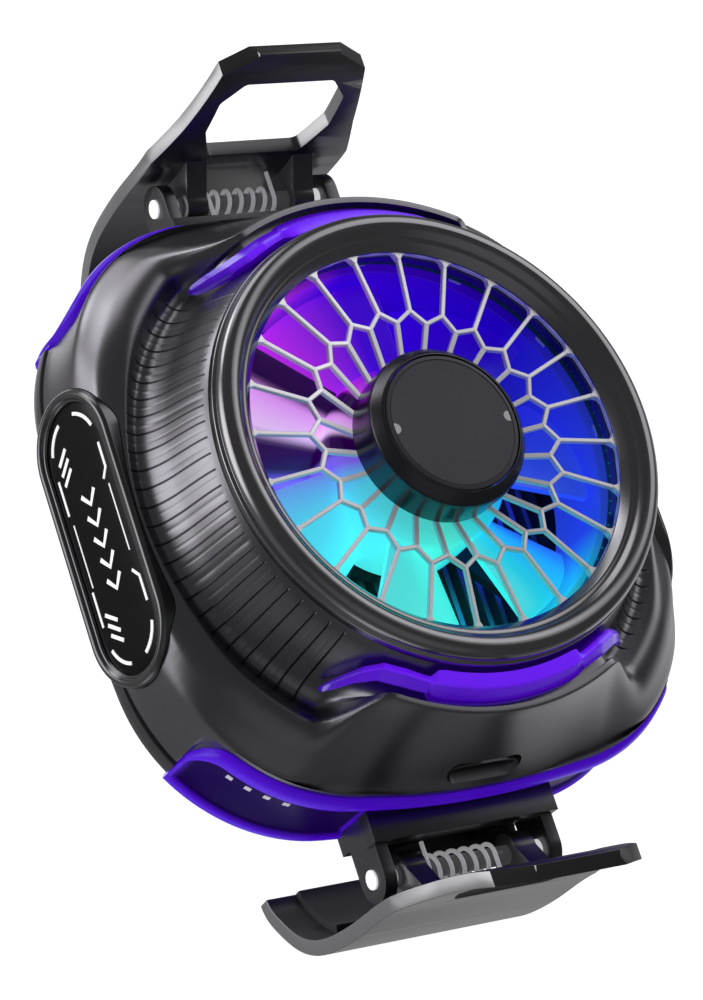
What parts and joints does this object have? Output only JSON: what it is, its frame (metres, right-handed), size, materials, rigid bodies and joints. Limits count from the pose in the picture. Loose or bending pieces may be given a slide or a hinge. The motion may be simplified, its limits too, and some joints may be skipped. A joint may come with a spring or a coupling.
{
  "type": "phone cooling fan",
  "caption": "Clip-on phone cooler with a ring-lit fan behind a spoked grille, a cold plate on its back and two sprung clips.",
  "frame": {"origin": "centre of the cold plate's contact face, where the cooler rests on the back of a phone", "axes": "+Z along the fan's axis away from the phone, +Y towards the upper clip, +X along the clips' pins"},
  "size_m": [0.0684, 0.0972, 0.0469],
  "materials": {
    "shell_plastic": "satin gunmetal",
    "rim_plastic": "polished gunmetal",
    "grille_metal": "silver paint",
    "hub_plastic": "polished black",
    "plate_plastic": "fine matt",
    "light_bar": "tinted translucent",
    "tray_plastic": "tinted translucent",
    "cheek_plastic": "fine matt",
    "bezel_plastic": "polished",
    "badge_plastic": "piano black",
    "clip_plastic": "satin",
    "bright_steel": "bright",
    "spring_steel": "drawn",
    "black_steel": "black oxide",
    "silicone": "matt",
    "aluminium": "bead blasted",
    "ceramic": "fired ceramic",
    "board": "solder mask",
    "copper": "enamelled",
    "core_steel": "stamped sheets",
    "magnet": "sintered",
    "bronze": "sintered",
    "frame_plastic": "moulded",
    "blade_plastic": "clear tinted",
    "duct_plastic": "clear tinted",
    "light_source": "clear"
  },
  "bodies": {
    "root": {"front_shell": "shell_plastic", "rear_shell": "tray_plastic", "top_light_bar": "light_bar", "bottom_light_bar": "light_bar", "left_cheek": "cheek_plastic", "right_cheek": "cheek_plastic", "left_bezel": "bezel_plastic", "right_bezel": "bezel_plastic", "left_badge": "badge_plastic", "right_badge": "badge_plastic", "front_rim": "rim_plastic", "grille": "grille_metal", "hub_cap": "hub_plastic", "hub_plate": "plate_plastic", "hub_studs": "bright_steel", "case_screws": "black_steel", "cold_plate": "aluminium", "contact_pad": "silicone", "thermoelectric_module": "ceramic", "heat_sink": "aluminium", "duct_ring": "duct_plastic", "motor_frame": "frame_plastic", "bearing_sleeve": "bronze", "stator_core": "core_steel", "stator_windings": "copper", "motor_board": "board", "frame_screws": "black_steel", "light_board": "board", "lights": "light_source", "control_board": "board", "board_screws": "black_steel", "power_socket": "bright_steel", "socket_insert": "frame_plastic", "top_bracket": "clip_plastic", "bottom_bracket": "clip_plastic", "top_bracket_screws": "black_steel", "bottom_bracket_screws": "black_steel", "top_pin": "bright_steel", "bottom_pin": "bright_steel", "top_spring": "spring_steel", "bottom_spring": "spring_steel"},
    "fan": {"impeller": "blade_plastic", "rotor_yoke": "core_steel", "rotor_magnet": "magnet", "fan_shaft": "bright_steel", "shaft_clip": "black_steel"},
    "top_clip": {"top_lever": "clip_plastic", "top_jaw_pad": "silicone"},
    "bottom_clip": {"bottom_lever": "clip_plastic", "bottom_jaw_pad": "silicone"}
  },
  "joints": [
    {"name": "fan_spin", "type": "hinge", "parent": "root", "child": "fan", "pos_m": [0, 0, 0.0229], "axis": [0, 0, 1], "continuous": true},
    {"name": "top_clip_hinge", "type": "hinge", "parent": "root", "child": "top_clip", "pos_m": [0, 0.04, 0.0097], "axis": [1, 0, 0], "range_deg": [0, 30], "stiffness_Nm_per_rad": 0.03, "springref_deg": -57.3, "deforming": ["top_spring"]},
    {"name": "bottom_clip_hinge", "type": "hinge", "parent": "root", "child": "bottom_clip", "pos_m": [0, -0.04, 0.0097], "axis": [-1, 0, 0], "range_deg": [0, 30], "stiffness_Nm_per_rad": 0.03, "springref_deg": -57.3, "deforming": ["bottom_spring"]}
  ]
}
